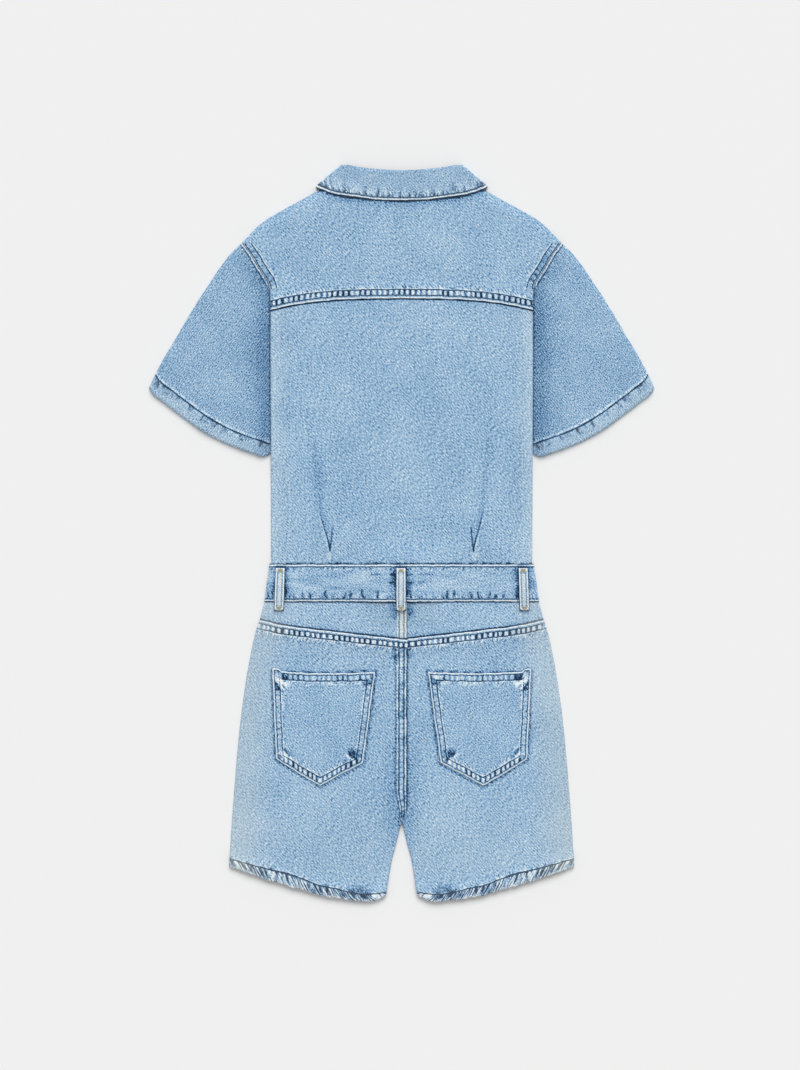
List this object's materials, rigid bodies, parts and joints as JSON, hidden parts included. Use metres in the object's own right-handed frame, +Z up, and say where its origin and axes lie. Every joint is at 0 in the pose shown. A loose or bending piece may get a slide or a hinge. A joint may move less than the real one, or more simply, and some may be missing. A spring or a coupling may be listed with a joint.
{
  "type": "denim shortalls laid flat",
  "caption": "Short-sleeved denim shortalls laid flat back side up, with shirt collar, waistband with belt loops, patch pockets and short legs.",
  "frame": {"origin": "middle of the garment on the surface that it lies on", "axes": "+X to the right as seen from above with the collar at the top, +Y towards the collar, +Z up, away from the surface"},
  "size_m": [0.528, 0.7708, 0.0159],
  "materials": {
    "denim": "light stone-washed cotton twill, matt",
    "denim_trim": "light stone-washed cotton twill with worn edges, matt",
    "button": "aged metal, satin"
  },
  "bodies": {
    "root": {"back_yoke": "denim", "bodice_back": "denim", "front_left": "denim", "front_right": "denim", "shorts_yoke_left": "denim", "shorts_yoke_right": "denim", "leg_back_left": "denim", "leg_back_right": "denim", "leg_front_left": "denim", "leg_front_right": "denim", "sleeve_left": "denim", "sleeve_right": "denim", "collar_stand": "denim_trim", "collar_fall": "denim_trim", "waistband": "denim_trim", "pocket_left": "denim_trim", "pocket_right": "denim_trim", "belt_loop_left": "denim_trim", "belt_loop_centre": "denim_trim", "belt_loop_right": "denim_trim", "button_1": "button", "button_2": "button", "button_3": "button", "button_4": "button", "button_5": "button", "button_6": "button", "button_7": "button", "button_8": "button"}
  },
  "joints": []
}
